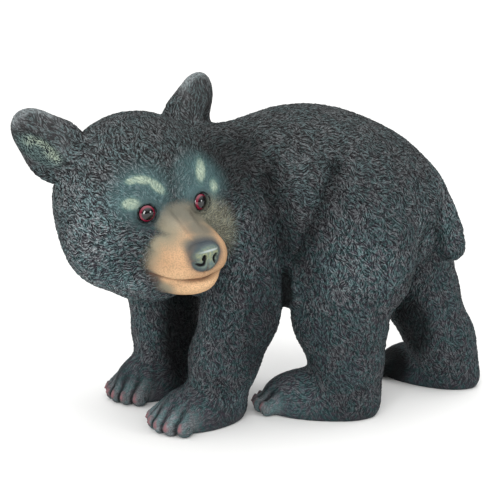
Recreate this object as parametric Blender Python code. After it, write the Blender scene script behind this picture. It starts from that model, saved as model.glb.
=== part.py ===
"""Bear cub statue: one hollow-cast garden figure of a walking cub that looks back, with two set-in glass eyes.

Metres, +Z up. The origin is on the ground under the middle of the statue's box.
The cub walks towards -X and turns its head to its left, towards -Y.
"""

import math

import bmesh
import bpy
from mathutils import Euler, Matrix, Vector

LENGTH = 0.463  # along X, from the tip of the right ear to the right heel

EYE_DIAMETER = 0.0155
EYE_EDGE = 0.0050  # the straight edge that sits in the socket
EYE_DOME = 0.0044  # how far the dome stands in front of that edge
EYE_GAP = 0.0003  # glue gap round a set-in eye


# The figure is drawn in millimetres as it stands when it is this long, and MM carries it to its own length.
DRAWN_LENGTH = 463.0
MM = LENGTH / DRAWN_LENGTH
GRAIN = 2.6 * MM  # how finely the clay is read into a surface
THINNING = 0.056  # the share of the surface's faces that stays, most of it where it bends
STAND = (13.5, -13.5, -4.0)  # on the ground, under the middle of the drawn figure

RIGHT = -1  # the cub's own right and left
LEFT = 1
SIDES = (RIGHT, LEFT)

# How far each ear leans back, its size, and the middle and radii of its hollow.
EARS = {
    RIGHT: (0.29, 1.0, (11, -9.5, 1), (11, 8, 25)),
    LEFT: (0.19, 1.05, (18, -9, -1), (9, 5, 19)),
}

EYES = {RIGHT: (-27.8, -57.8, 13.8), LEFT: (28.5, -57.5, 12)}  # middles of the eyes' rims on the head

# Lumps of the trunk: x, y, z, three radii, yaw, softness of the melt.
TRUNK = (
    (52, 7, 198, 101.5, 76, 91.5, -4, 0),
    (94.5, 8, 181.5, 76.5, 71, 88.5, -20, 40),
    (126.5, 8, 193, 58, 58, 66, -20, 30),
    (-32, 6, 190, 70, 67, 80, 14, 40),
    (-66, -11, 216, 54, 52, 56, 18, 40),
    (154.5, 10, 181.5, 48.5, 44, 53, -24, 24),
    (34, -28, 123, 15, 22, 18, 0, 8),
)
TAIL = ((179, -9, 208, 12), (187, -13, 188, 14), (193.5, -17, 166, 15), (196, -19, 152, 14.5))

# Valleys of the coat behind the shoulder, before the thigh and behind the head: joints and softness.
FOLDS = (
    (((4, -54, 254, 12), (7, -65, 224, 14), (13, -70, 200, 15), (21, -70, 172, 14), (28, -60, 142, 12)), 9),
    (((73, -64, 244, 12), (62, -74, 212, 14), (54, -76, 192, 14), (44, -73, 172, 14), (33, -63, 146, 12)), 9),
    (((-28, -40, 280, 26), (-12, -72, 246, 24)), 14),
)

# Each leg: lumps (x, y, z, three radii, pitch, yaw, softness), shin joints (x, y, z, radius),
# and foot (x, y, yaw, length, width, height, width of the toes).
LEGS = {
    "fore_left": (
        ((-24, -36, 182, 44, 32, 60, 8, -2, 8), (-12, -41, 117, 36, 32, 56, 10, -2, 12)),
        ((-15, -38, 100, 34), (-27, -29, 58, 31), (-31, -22, 28, 28)),
        (-52, -28, 28, 106, 63, 40, 1.0),
    ),
    "fore_right": (
        ((-58, 48, 174, 40, 32, 60, 0, -2, 9), (-68.5, 57, 112, 34, 30, 52, 0, -2, 12)),
        ((-68.5, 61, 100, 35), (-66, 67, 58, 32), (-65, 67, 28, 29)),
        (-81.5, 61, 28, 102, 60, 48, 1.0),
    ),
    "hind_left": (
        ((95, -38, 158, 59, 42, 70, -8, -18, 6), (82, -39, 101, 46, 34, 55, 4, -18, 10)),
        ((90, -37, 82, 36), (90, -36, 50, 33), (92, -36, 26, 31)),
        (62.5, -25, -22, 124, 57, 47.5, 0.9),
    ),
    "hind_right": (
        ((162.5, 36, 149, 54, 40, 66, -12, -24, 9), (183.5, 31, 100, 37.5, 32, 51, -10, -22, 12)),
        ((189, 30, 80, 34), (205, 27, 45, 32), (213, 27, 26, 30)),
        (196, 45, -43, 118, 55, 42, 0.9),
    ),
}


def mm(*values):
    """A step or a set of radii, in drawn millimetres."""
    return Vector(values) * MM


def at(x, y, z, roll=0.0, pitch=0.0, yaw=0.0):
    """A place in drawn millimetres, turned by degrees about X, then Y, then Z."""
    turn = Euler([math.radians(angle) for angle in (roll, pitch, yaw)], "XYZ")
    return Matrix.Translation(mm(x, y, z)) @ turn.to_matrix().to_4x4()


# The middle of the head: its -y looks out of the face, and its +x out of the left cheek.
HEAD = at(-105, -27, 207, roll=2, pitch=-4.5, yaw=24)


class Clay:
    """Clay as geometry nodes: a distance, negative inside, that lumps are melted into and hollows pressed from."""

    def __init__(self, name):
        self.tree = bpy.data.node_groups.new(name, "GeometryNodeTree")
        self.tree.interface.new_socket("Geometry", in_out="OUTPUT", socket_type="NodeSocketGeometry")
        position = self.tree.nodes.new("GeometryNodeInputPosition").outputs[0]
        self.point = self.vector("ADD", position, mm(*STAND))
        self.field = None

    def node(self, kind, *values, **settings):
        node = self.tree.nodes.new(kind)
        for name, value in settings.items():
            setattr(node, name, value)
        for socket, value in zip(node.inputs, values):
            if isinstance(value, bpy.types.NodeSocket):
                self.tree.links.new(value, socket)
            else:
                socket.default_value = value
        return node

    def number(self, operation, *values):
        return self.node("ShaderNodeMath", *values, operation=operation).outputs[0]

    def vector(self, operation, *values):
        result = "Value" if operation in ("LENGTH", "DOT_PRODUCT", "DISTANCE") else "Vector"
        return self.node("ShaderNodeVectorMath", *values, operation=operation).outputs[result]

    def inside(self, place):
        """The point as seen from a place."""
        local = self.vector("SUBTRACT", self.point, place.to_translation())
        turn = self.node("ShaderNodeVectorRotate", local, rotation_type="EULER_XYZ", invert=True)
        turn.inputs["Rotation"].default_value = place.to_euler("XYZ")
        return turn.outputs[0]

    def ellipsoid(self, place, radii):
        """Distance to an ellipsoid with its middle and turn at place."""
        local = self.inside(place)
        radii = mm(*radii)
        near = self.vector("LENGTH", self.vector("DIVIDE", local, radii))
        slope = self.vector("LENGTH", self.vector("DIVIDE", local, radii * radii))
        return self.number("DIVIDE", self.number("MULTIPLY", near, self.number("SUBTRACT", near, 1.0)), slope)

    def rod(self, start, end, thick, thin):
        """Distance to a round rod that narrows from thick at start to thin at end."""
        axis = end - start
        local = self.vector("SUBTRACT", self.point, start)
        along = self.vector("DOT_PRODUCT", local, axis / axis.length_squared)
        along = self.number("MAXIMUM", self.number("MINIMUM", along, 1.0), 0.0)
        foot = self.node("ShaderNodeVectorMath", axis, operation="SCALE")
        self.tree.links.new(along, foot.inputs["Scale"])
        reach = self.vector("DISTANCE", local, foot.outputs[0])
        radius = self.number("MULTIPLY_ADD", along, (thin - thick) * MM, thick * MM)
        return self.number("SUBTRACT", reach, radius)

    def chain(self, joints):
        """Distance to rods from joint to joint."""
        total = None
        for upper, lower in zip(joints, joints[1:]):
            rod = self.rod(mm(*upper[:3]), mm(*lower[:3]), upper[3], lower[3])
            total = rod if total is None else self.number("MINIMUM", total, rod)
        return total

    def melt(self, distance, softness):
        """Adds a lump with a fillet."""
        if self.field is None:
            self.field = distance
        else:
            self.field = self.number("SMOOTH_MIN", self.field, distance, softness * MM)

    def press(self, distance, softness):
        """Presses a hollow with a rounded edge."""
        outside = self.number("MULTIPLY", distance, -1.0)
        self.field = self.number("SMOOTH_MAX", self.field, outside, softness * MM)

    def surface(self, low, high, material):
        """The clay's skin, read between two corners of a box."""
        cells = [round((high[axis] - low[axis]) / GRAIN) for axis in range(3)]
        density = self.number("MULTIPLY", self.field, -1.0)
        cube = self.node("GeometryNodeVolumeCube", density, -1.0, low, high, *cells)
        skin = self.node("GeometryNodeVolumeToMesh", cube.outputs[0])
        skin.inputs["Threshold"].default_value = 0.0
        smooth = self.node("GeometryNodeSetShadeSmooth", skin.outputs[0])
        coat = self.node("GeometryNodeSetMaterial", smooth.outputs[0])
        coat.inputs["Material"].default_value = material
        self.node("NodeGroupOutput", coat.outputs[0])
        return self.tree


def shape_trunk(clay):
    for x, y, z, rx, ry, rz, yaw, softness in TRUNK:
        clay.melt(clay.ellipsoid(at(x, y, z, yaw=yaw), (rx, ry, rz)), softness)


def shape_leg(clay, lumps, joints, foot):
    for x, y, z, rx, ry, rz, pitch, yaw, softness in lumps:
        clay.melt(clay.ellipsoid(at(x, y, z, pitch=pitch, yaw=yaw), (rx, ry, rz)), softness)
    for upper, lower in zip(joints, joints[1:]):
        clay.melt(clay.rod(mm(*upper[:3]), mm(*lower[:3]), upper[3], lower[3]), 18)
    shape_foot(clay, *foot)


def shape_foot(clay, x, y, yaw, length, width, height, spread):
    """A foot on the ground over x, y. Its toes point along -X turned by yaw, and its sole is cut flat later."""
    foot = at(x, y, STAND[2], yaw=yaw)
    sole = foot @ at(length * 0.04, 0, height * 0.25)
    clay.melt(clay.ellipsoid(sole, (length * 0.46, width * 0.50, height * 0.68)), 16)
    for toe in range(5):
        across = (toe - 2) / 2
        back = length * 0.09 * across**2
        out = across * width * spread
        tip = foot @ mm(-length * 0.5 + width * 0.14 + back, out * 0.37, width * 0.11)
        root = foot @ mm(-length * 0.22 + back, out * 0.26, height * 0.52)
        clay.melt(clay.rod(root, tip, width * 0.14, width * 0.122), 3)
        quick = foot @ mm(-length * 0.5 + back + 4, out * 0.38, 12.5)
        claw = foot @ mm(-length * 0.5 + back + 0.5, out * 0.40, 7.5)
        clay.melt(clay.rod(quick, claw, 2.5, 1.7), 2)


def shape_head(clay):
    clay.melt(clay.ellipsoid(HEAD @ at(2, 10, 7), (77, 64, 78.5)), 0)
    for side in SIDES:
        clay.melt(clay.ellipsoid(HEAD @ at(side * 41, -12, -18), (39, 42, 44)), 24)
    clay.melt(clay.ellipsoid(HEAD @ at(0, -10, -47), (44, 48, 38)), 26)
    shape_muzzle(clay)
    for side in SIDES:
        shape_ear(clay, side)
        clay.melt(clay.ellipsoid(eye_place(side) @ at(0, 8, 0), (14.5, 10.5, 13.5)), 8)


def mirrored_rod(clay, side, start, end, thick, thin):
    """A rod on one side of the head, from start to end in its own millimetres."""
    back = HEAD @ mm(side * start[0], *start[1:])
    front = HEAD @ mm(side * end[0], *end[1:])
    return clay.rod(back, front, thick, thin)


def shape_muzzle(clay):
    for side in SIDES:
        clay.melt(mirrored_rod(clay, side, (22, -44, -8), (13, -83, -22), 13, 15.5), 9)
        clay.melt(mirrored_rod(clay, side, (26, -38, -25), (14.5, -83, -28), 22, 18.5), 12)
    clay.melt(clay.rod(HEAD @ mm(0, -40, -16), HEAD @ mm(0, -84, -28), 20, 20), 8)
    for side in SIDES:
        clay.melt(mirrored_rod(clay, side, (8, -52, 5), (7, -95, -17), 9, 6), 6)
    clay.melt(clay.ellipsoid(HEAD @ at(0, -73, -46.5, roll=4), (26, 28, 14)), 6)
    for side in SIDES:
        clay.melt(mirrored_rod(clay, side, (26, -42, -42), (13, -74, -46), 22, 12.5), 8)
    shape_mouth(clay)
    shape_nose(clay)


def shape_mouth(clay):
    """A line under the upper lip that rises to both corners of the mouth, carved as deep as it is wide."""
    split = clay.node("ShaderNodeSeparateXYZ", clay.inside(HEAD @ at(0, 0, -42.5)))
    across = split.outputs["X"]
    bow = clay.number("MULTIPLY", clay.number("MULTIPLY", across, across), 0.0040 / MM)
    level = clay.number("ABSOLUTE", clay.number("SUBTRACT", split.outputs["Z"], bow))
    line = clay.node("ShaderNodeMapRange", level, 0.0, 3.2 * MM, 2.8 * MM, 0.0, interpolation_type="SMOOTHSTEP")
    front = clay.node("ShaderNodeMapRange", split.outputs["Y"], -64 * MM, -75 * MM, 0.0, 1.0)
    clay.field = clay.number("MULTIPLY_ADD", line.outputs[0], front.outputs[0], clay.field)


def shape_nose(clay):
    """A wide bar with a narrow one under it, and two nostrils."""
    bars = []
    for out, y, z, thick in ((6.4, -101, -16.8, 8.0), (3.2, -102, -26.5, 7.3)):
        bars.append(clay.rod(HEAD @ mm(-0.5 - out, y, z), HEAD @ mm(-0.5 + out, y, z), thick, thick))
    clay.melt(clay.number("SMOOTH_MIN", *bars, 4 * MM), 1)
    for side in SIDES:
        hollow = HEAD @ at(side * 6.5 - 0.5, -110.5, -20, yaw=side * 20, pitch=side * 25)
        clay.press(clay.ellipsoid(hollow, (3.6, 4.0, 3.0)), 1.5)


def ear_place(side, along):
    """A place so far up an ear from its root: z runs to the tip, x across it, and y out of its back."""
    lean = EARS[side][0]
    up = Vector((side * 0.61, lean, 0.73)).normalized()
    across = Vector((side * 0.75, 0.10, -0.64))
    across = (across - up * across.dot(up)).normalized() * side
    turn = Matrix((across, up.cross(across), up)).transposed()
    return HEAD @ Matrix.Translation(mm(side * 67, 20, 61) + up * along * MM) @ turn.to_4x4()


def shape_ear(clay, side):
    _, size, cup, radii = EARS[side]
    clay.melt(clay.ellipsoid(ear_place(side, 21 * size), (21 * size, 9, 30 * size)), 10)
    clay.melt(clay.ellipsoid(ear_place(side, 2), (28, 11, 31)), 10)
    clay.press(clay.ellipsoid(ear_place(side, 22) @ at(side * cup[0], *cup[1:], pitch=side * 8), radii), 3)


def eye_place(side):
    """The middle of the rim of an eye, which looks along its -y."""
    return HEAD @ at(*EYES[side], roll=-4, yaw=side * 14)


def eye_profile(grow):
    """Half the outline of an eye, grown all round: radius and height in front of its rim."""
    radius = EYE_DIAMETER / 2
    curve = (radius**2 + EYE_DOME**2) / (2 * EYE_DOME)
    swing = math.asin(radius / curve)
    outline = [(0.0, -EYE_EDGE - grow), (radius + grow, -EYE_EDGE - grow)]
    for step in range(9):
        angle = swing * (1 - step / 8)
        outline.append((curve_x(curve + grow, angle), (curve + grow) * math.cos(angle) - curve + EYE_DOME))
    return outline


def curve_x(curve, angle):
    return curve * math.sin(angle)


def turned_solid(name, outline, place, turns=28):
    """A solid of revolution about the -y of place, closed at both ends."""
    mesh = bpy.data.meshes.new(name)
    solid = bmesh.new()
    rings = []
    for radius, height in outline:
        if radius < 1e-9:
            rings.append([solid.verts.new((0.0, -height, 0.0))])
            continue
        ring = []
        for turn in range(turns):
            angle = 2 * math.pi * turn / turns
            ring.append(solid.verts.new((radius * math.cos(angle), -height, radius * math.sin(angle))))
        rings.append(ring)
    for inner, outer in zip(rings, rings[1:]):
        for turn in range(turns):
            after = (turn + 1) % turns
            corners = [inner[turn % len(inner)], outer[turn % len(outer)]]
            corners += [outer[after % len(outer)], inner[after % len(inner)]]
            solid.faces.new(list(dict.fromkeys(corners)))
    solid.transform(place)
    bmesh.ops.recalc_face_normals(solid, faces=solid.faces)
    for face in solid.faces:
        face.smooth = True
    solid.to_mesh(mesh)
    solid.free()
    thing = bpy.data.objects.new(name, mesh)
    bpy.context.collection.objects.link(thing)
    return thing


def world_place(place):
    return Matrix.Translation(-mm(*STAND)) @ place


def make_eye(name, side, material):
    eye = turned_solid(name, eye_profile(0.0), world_place(eye_place(side)))
    eye.data.materials.append(material)
    return eye


def cutter(thing):
    thing.hide_render = True
    thing.display_type = "WIRE"
    return thing


def socket_cutter(name, side):
    """An eye grown by its glue gap, and open to the front."""
    radius = EYE_DIAMETER / 2 + EYE_GAP
    outline = [(0.0, -EYE_EDGE - EYE_GAP), (radius, -EYE_EDGE - EYE_GAP), (radius, 0.02), (0.0, 0.02)]
    return cutter(turned_solid(name, outline, world_place(eye_place(side))))


def ground_cutter():
    mesh = bpy.data.meshes.new("ground_cut")
    slab = bmesh.new()
    bmesh.ops.create_cube(slab, size=1.0)
    bmesh.ops.transform(slab, matrix=Matrix.Diagonal((2 * LENGTH, 2 * LENGTH, 0.1, 1.0)), verts=slab.verts)
    bmesh.ops.translate(slab, vec=(0.0, 0.0, -0.05), verts=slab.verts)
    slab.to_mesh(mesh)
    slab.free()
    thing = bpy.data.objects.new("ground_cut", mesh)
    bpy.context.collection.objects.link(thing)
    return cutter(thing)


def make_body(name, material):
    clay = Clay("bear_clay")
    shape_trunk(clay)
    trunk = clay.field
    legs = []
    for lumps, joints, foot in LEGS.values():
        clay.field = trunk
        shape_leg(clay, lumps, joints, foot)
        legs.append(clay.field)
    body = legs[0]
    for leg in legs[1:]:
        body = clay.number("MINIMUM", body, leg)
    clay.field = body
    for joints, softness in FOLDS:
        clay.press(clay.chain(joints), softness)
    body = clay.field
    clay.field = None
    shape_head(clay)
    clay.melt(body, 14)
    clay.melt(clay.chain(TAIL), 4)
    mesh = bpy.data.meshes.new(name)
    mesh.materials.append(material)
    body = bpy.data.objects.new(name, mesh)
    bpy.context.collection.objects.link(body)
    body.modifiers.new("clay", "NODES").node_group = clay.surface(mm(-240, -150, -16), mm(240, 150, 330), material)
    thin = body.modifiers.new("faces", "DECIMATE")
    thin.use_collapse_triangulate = True
    thin.ratio = THINNING
    for tool in (ground_cutter(), socket_cutter("socket_left", LEFT), socket_cutter("socket_right", RIGHT)):
        cut = body.modifiers.new(tool.name, "BOOLEAN")
        cut.operation = "DIFFERENCE"
        cut.solver = "EXACT"
        cut.object = tool
    return body


def paint(name, colour, roughness, metallic=0.0, coat=0.0):
    material = bpy.data.materials.new(name)
    material.use_nodes = True
    shader = material.node_tree.nodes["Principled BSDF"]
    shader.inputs["Base Color"].default_value = (*colour, 1.0)
    shader.inputs["Roughness"].default_value = roughness
    shader.inputs["Metallic"].default_value = metallic
    shader.inputs["Coat Weight"].default_value = coat
    return material


def main():
    for old in list(bpy.data.objects):
        bpy.data.objects.remove(old)
    make_body("bear_body", paint("painted_resin", (0.055, 0.062, 0.066), 0.62))
    make_eye("eye_left", LEFT, paint("eye_glass_left", (0.10, 0.012, 0.018), 0.06, coat=1.0))
    make_eye("eye_right", RIGHT, paint("eye_glass_right", (0.10, 0.012, 0.018), 0.06, coat=1.0))


main()
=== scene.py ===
# Bear cub statue: the painted cast coat with its carved fur, two glass eyes, a plain studio and the camera.
# The cub walks towards -X, turns its head to its left (-Y), and stands on z = 0.

import math

import bmesh
import bpy
import numpy as np
from mathutils import Euler, Matrix, Vector
from mathutils.kdtree import KDTree


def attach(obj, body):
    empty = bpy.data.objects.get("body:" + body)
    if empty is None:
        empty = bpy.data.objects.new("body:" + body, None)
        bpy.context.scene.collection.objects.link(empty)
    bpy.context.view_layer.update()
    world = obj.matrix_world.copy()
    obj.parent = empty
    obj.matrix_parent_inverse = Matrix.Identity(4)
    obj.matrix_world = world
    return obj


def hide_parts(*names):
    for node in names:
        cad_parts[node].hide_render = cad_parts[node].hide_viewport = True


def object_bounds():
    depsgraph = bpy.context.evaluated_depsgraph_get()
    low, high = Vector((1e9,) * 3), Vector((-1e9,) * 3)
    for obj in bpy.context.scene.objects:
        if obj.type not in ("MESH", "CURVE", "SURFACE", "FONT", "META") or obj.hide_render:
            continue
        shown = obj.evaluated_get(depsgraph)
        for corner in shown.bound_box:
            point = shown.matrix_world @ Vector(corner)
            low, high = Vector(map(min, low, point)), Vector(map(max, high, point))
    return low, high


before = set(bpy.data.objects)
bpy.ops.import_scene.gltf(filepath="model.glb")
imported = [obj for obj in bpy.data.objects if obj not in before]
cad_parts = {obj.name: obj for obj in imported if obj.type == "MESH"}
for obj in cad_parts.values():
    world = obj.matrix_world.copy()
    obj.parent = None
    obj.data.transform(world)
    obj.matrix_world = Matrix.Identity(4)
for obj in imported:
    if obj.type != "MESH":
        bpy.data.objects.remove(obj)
cadLow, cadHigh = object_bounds()
print("frame loaded")

drawnLength = 462.7  # the figure is drawn in millimetres as it stands when its box is this long
mm = (cadHigh.x - cadLow.x) / drawnLength
stand = (13.5, -13.5, -4.0)  # on the ground, under the middle of the drawn figure

right, left = -1, 1  # the cub's own sides
sides = (right, left)

coat = {
    "grain": 1.6,  # how finely the cast skin is read, in drawn millimetres
    "quickGrain": 3.2,
    "faces": 194000,
    "low": (-240, -150, -10),
    "high": (240, 150, 332),
    "fineFace": 44,  # how far round the muzzle and each eye the faces are cut in four
    "fineEye": 17,
}

trunk = {  # x, y, z, three radii, yaw, softness of the melt
    "lumps": [
        (52, 7, 198, 101.5, 76, 91.5, -4, 0),
        (94.5, 8, 181.5, 76.5, 71, 88.5, -20, 40),
        (126.5, 8, 193, 58, 58, 66, -20, 30),
        (-32, 6, 190, 70, 67, 80, 14, 40),
        (-66, -11, 216, 54, 52, 56, 18, 40),
        (154.5, 10, 181.5, 48.5, 44, 53, -24, 24),
        (34, -28, 123, 15, 22, 18, 0, 8),
    ],
    "tail": {
        "joints": [(179, -9, 208, 12), (187, -13, 188, 14), (193.5, -17, 166, 15), (196, -19, 152, 14.5)],
        "softness": 4,
    },
    "neckSoftness": 14,
    "folds": [  # valleys of the coat behind the shoulder, before the thigh and behind the head
        {
            "joints": [
                (4, -54, 254, 12), (7, -65, 224, 14), (13, -70, 200, 15),
                (21, -70, 172, 14), (28, -60, 142, 12),
            ],
            "softness": 9,
        },
        {
            "joints": [
                (73, -64, 244, 12), (62, -74, 212, 14), (54, -76, 192, 14),
                (44, -73, 172, 14), (33, -63, 146, 12),
            ],
            "softness": 9,
        },
        {"joints": [(-28, -40, 280, 26), (-12, -72, 246, 24)], "softness": 14},
    ],
}

legs = {  # lumps as the trunk's with a pitch before the yaw, shin joints, then the foot's place and sizes
    "foreLeft": {
        "lumps": [(-24, -36, 182, 44, 32, 60, 8, -2, 8), (-12, -41, 117, 36, 32, 56, 10, -2, 12)],
        "joints": [(-15, -38, 100, 34), (-27, -29, 58, 31), (-31, -22, 28, 28)],
        "foot": {"x": -52, "y": -28, "yaw": 28, "length": 106, "width": 63, "height": 40, "spread": 1.0},
    },
    "foreRight": {
        "lumps": [(-58, 48, 174, 40, 32, 60, 0, -2, 9), (-68.5, 57, 112, 34, 30, 52, 0, -2, 12)],
        "joints": [(-68.5, 61, 100, 35), (-66, 67, 58, 32), (-65, 67, 28, 29)],
        "foot": {"x": -81.5, "y": 61, "yaw": 28, "length": 102, "width": 60, "height": 48, "spread": 1.0},
    },
    "hindLeft": {
        "lumps": [(95, -38, 158, 59, 42, 70, -8, -18, 6), (82, -39, 101, 46, 34, 55, 4, -18, 10)],
        "joints": [(90, -37, 82, 36), (90, -36, 50, 33), (92, -36, 26, 31)],
        "foot": {"x": 62.5, "y": -25, "yaw": -22, "length": 124, "width": 57, "height": 47.5, "spread": 0.9},
    },
    "hindRight": {
        "lumps": [(162.5, 36, 149, 54, 40, 66, -12, -24, 9), (183.5, 31, 100, 37.5, 32, 51, -10, -22, 12)],
        "joints": [(189, 30, 80, 34), (205, 27, 45, 32), (213, 27, 26, 30)],
        "foot": {"x": 196, "y": 45, "yaw": -43, "length": 118, "width": 55, "height": 42, "spread": 0.9},
    },
}

face = {  # in the head's own millimetres: -y looks out of the face, +x out of the left cheek
    "skull": (2, 10, 7, 77, 64, 78.5),
    "cheek": (41, -12, -18, 39, 42, 44, 24),
    "jaw": (0, -10, -47, 44, 48, 38, 26),
    "muzzleRods": [  # start and its radius, end and its radius, softness
        ((22, -44, -8), 13, (13, -83, -22), 15.5, 9),
        ((26, -38, -25), 22, (14.5, -83, -28), 18.5, 12),
    ],
    "muzzleCore": ((0, -40, -16), (0, -84, -28), 20, 8),
    "bridge": ((8, -52, 5), 9, (7, -95, -17), 6, 6),
    "chin": (0, -73, -46.5, 26, 28, 14, 6),
    "jawSide": ((26, -42, -42), 22, (13, -74, -46), 12.5, 8),
    "mouth": {"height": -42.5, "bow": 0.0040, "width": 2.4, "depth": 2.6, "front": (-62, -74)},
    "nose": {
        "middle": -0.5,
        "top": ((6.4, -101, -16.8), 8.0),
        "tip": ((3.2, -102, -26.5), 7.3),
        "melt": 4,
        "softness": 1.0,
    },
    "nostrils": {  # middle of each curl, where it starts and ends in degrees, and its hole: place and radius
        right: {"middle": (-7.7, -22.0), "turn": (40, -140), "hole": (3.6, 1.9, 3.4)},
        left: {"middle": (9.2, -22.9), "turn": (90, -100), "hole": (0.4, 1.3, 1.8)},
    },
    "curl": {"radius": 3.7, "half": 2.0, "depth": 3.2},
    "eyes": {right: (-27.8, -57.8, 13.8), left: (28.5, -57.5, 12)},
    "eye": {"roll": -4, "yaw": 14, "diameter": 15.5, "edge": 5.0, "gap": 0.3},
    "lid": {"radii": (14.5, 10.5, 13.5), "sink": 8},
}

ears = {
    "root": (67, 20, 61),
    right: {"lean": 0.29, "size": 1.0, "cup": (11, -9.5, 1), "cupRadii": (11, 8, 25)},
    left: {"lean": 0.19, "size": 1.05, "cup": (18, -9, -1), "cupRadii": (9, 5, 19)},
}

creases = [  # narrow valleys in the coat of the left side: x and z along each, half width, depth, and darkness of the shade painted in it
    {"line": [(9, 236), (13, 212), (18, 188), (24, 164), (29, 140)], "width": 8, "depth": 2.6, "dark": 0.5},
    {
        "line": [(72, 240), (66, 222), (59, 206), (52, 190), (44, 172), (35, 152)],
        "width": 7,
        "depth": 2.8,
        "dark": 0.55,
    },
    {"line": [(168, 180), (161, 162), (150, 146), (143, 128)], "width": 6, "depth": 2.2, "dark": 0.5},
    {"line": [(178, 190), (179, 170), (182, 152), (190, 140)], "width": 5, "depth": 2.0, "dark": 0.5},
]


def step(*values):  # a step or a set of radii, in drawn millimetres
    return Vector(values) * mm


def at(x, y, z, roll=0.0, pitch=0.0, yaw=0.0):
    turn = Euler([math.radians(angle) for angle in (roll, pitch, yaw)], "XYZ")
    return Matrix.Translation(step(x, y, z)) @ turn.to_matrix().to_4x4()


head = at(-105, -27, 207, roll=2, pitch=-4.5, yaw=24)


class Wires:  # wires the nodes of one tree
    def __init__(self, tree):
        self.tree = tree

    def set(self, socket, value):
        if isinstance(value, bpy.types.NodeSocket):
            self.tree.links.new(value, socket)
        elif value is not None:
            socket.default_value = value

    def node(self, kind, *values, **settings):
        made = self.tree.nodes.new(kind)
        for name, value in settings.items():
            setattr(made, name, value)
        for socket, value in zip(made.inputs, values):
            self.set(socket, value)
        return made

    def number(self, operation, *values):
        return self.node("ShaderNodeMath", *values, operation=operation).outputs[0]

    def times(self, first, second):
        return self.number("MULTIPLY", first, second)

    def vector(self, operation, *values):
        result = "Value" if operation in ("LENGTH", "DOT_PRODUCT", "DISTANCE") else "Vector"
        return self.node("ShaderNodeVectorMath", *values, operation=operation).outputs[result]

    def scaled(self, vector, share):
        made = self.node("ShaderNodeVectorMath", vector, operation="SCALE")
        self.set(made.inputs["Scale"], share)
        return made.outputs[0]

    def turnedBack(self, local, angles):
        turn = self.node("ShaderNodeVectorRotate", local, rotation_type="EULER_XYZ", invert=True)
        self.set(turn.inputs["Rotation"], angles)
        return turn.outputs[0]


class Clay(Wires):  # a distance, negative inside, that lumps are melted into and hollows pressed from
    def __init__(self, name):
        super().__init__(bpy.data.node_groups.new(name, "GeometryNodeTree"))
        self.tree.interface.new_socket("Geometry", in_out="OUTPUT", socket_type="NodeSocketGeometry")
        position = self.node("GeometryNodeInputPosition").outputs[0]
        self.point = self.vector("ADD", position, step(*stand))
        self.field = None

    def inside(self, place):
        local = self.vector("SUBTRACT", self.point, place.to_translation())
        return self.turnedBack(local, place.to_euler("XYZ"))

    def ellipsoid(self, place, radii):
        local = self.inside(place)
        radii = step(*radii)
        near = self.vector("LENGTH", self.vector("DIVIDE", local, radii))
        slope = self.vector("LENGTH", self.vector("DIVIDE", local, radii * radii))
        return self.number("DIVIDE", self.times(near, self.number("SUBTRACT", near, 1.0)), slope)

    def rod(self, start, end, thick, thin):
        axis = end - start
        local = self.vector("SUBTRACT", self.point, start)
        along = self.vector("DOT_PRODUCT", local, axis / axis.length_squared)
        along = self.number("MAXIMUM", self.number("MINIMUM", along, 1.0), 0.0)
        reach = self.vector("DISTANCE", local, self.scaled(axis, along))
        radius = self.number("MULTIPLY_ADD", along, (thin - thick) * mm, thick * mm)
        return self.number("SUBTRACT", reach, radius)

    def chain(self, joints):  # distance to rods from joint to joint; a joint is x, y, z and a radius
        total = None
        for upper, lower in zip(joints, joints[1:]):
            rod = self.rod(step(*upper[:3]), step(*lower[:3]), upper[3], lower[3])
            total = rod if total is None else self.number("MINIMUM", total, rod)
        return total

    def melt(self, distance, softness):
        if self.field is None:
            self.field = distance
        else:
            self.field = self.number("SMOOTH_MIN", self.field, distance, softness * mm)

    def press(self, distance, softness):
        outside = self.times(distance, -1.0)
        self.field = self.number("SMOOTH_MAX", self.field, outside, softness * mm)

    def surface(self, low, high, grain):
        cells = [round((high[axis] - low[axis]) / grain) for axis in range(3)]
        density = self.times(self.field, -1.0)
        cube = self.node("GeometryNodeVolumeCube", density, -1.0, low, high, *cells)
        skin = self.node("GeometryNodeVolumeToMesh", cube.outputs[0])
        skin.inputs["Threshold"].default_value = 0.0
        smooth = self.node("GeometryNodeSetShadeSmooth", skin.outputs[0])
        self.node("NodeGroupOutput", smooth.outputs[0])
        return self.tree


def shapeLeg(clay, lumps, joints, foot):
    for x, y, z, rx, ry, rz, pitch, yaw, softness in lumps:
        clay.melt(clay.ellipsoid(at(x, y, z, pitch=pitch, yaw=yaw), (rx, ry, rz)), softness)
    for upper, lower in zip(joints, joints[1:]):
        clay.melt(clay.rod(step(*upper[:3]), step(*lower[:3]), upper[3], lower[3]), 18)
    shapeFoot(clay, **foot)


def toePlaces(x, y, yaw, length, width, height, spread):  # each toe's root and tip, and its claw's
    foot = at(x, y, stand[2], yaw=yaw)
    for toe in range(5):
        across = (toe - 2) / 2
        back = length * 0.09 * across**2
        out = across * width * spread
        tip = foot @ step(-length * 0.5 + width * 0.14 + back, out * 0.37, width * 0.11)
        root = foot @ step(-length * 0.22 + back, out * 0.26, height * 0.52)
        quick = foot @ step(-length * 0.5 + back + 4, out * 0.38, 12.5)
        claw = foot @ step(-length * 0.5 + back + 0.5, out * 0.40, 7.5)
        yield root, tip, quick, claw


def shapeFoot(clay, **foot):
    length, width, height = foot["length"], foot["width"], foot["height"]
    sole = at(foot["x"], foot["y"], stand[2], yaw=foot["yaw"]) @ at(length * 0.04, 0, height * 0.25)
    clay.melt(clay.ellipsoid(sole, (length * 0.46, width * 0.50, height * 0.68)), 16)
    for root, tip, quick, claw in toePlaces(**foot):
        clay.melt(clay.rod(root, tip, width * 0.14, width * 0.122), 3)
        clay.melt(clay.rod(quick, claw, 2.2, 1.3), 1.5)


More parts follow.
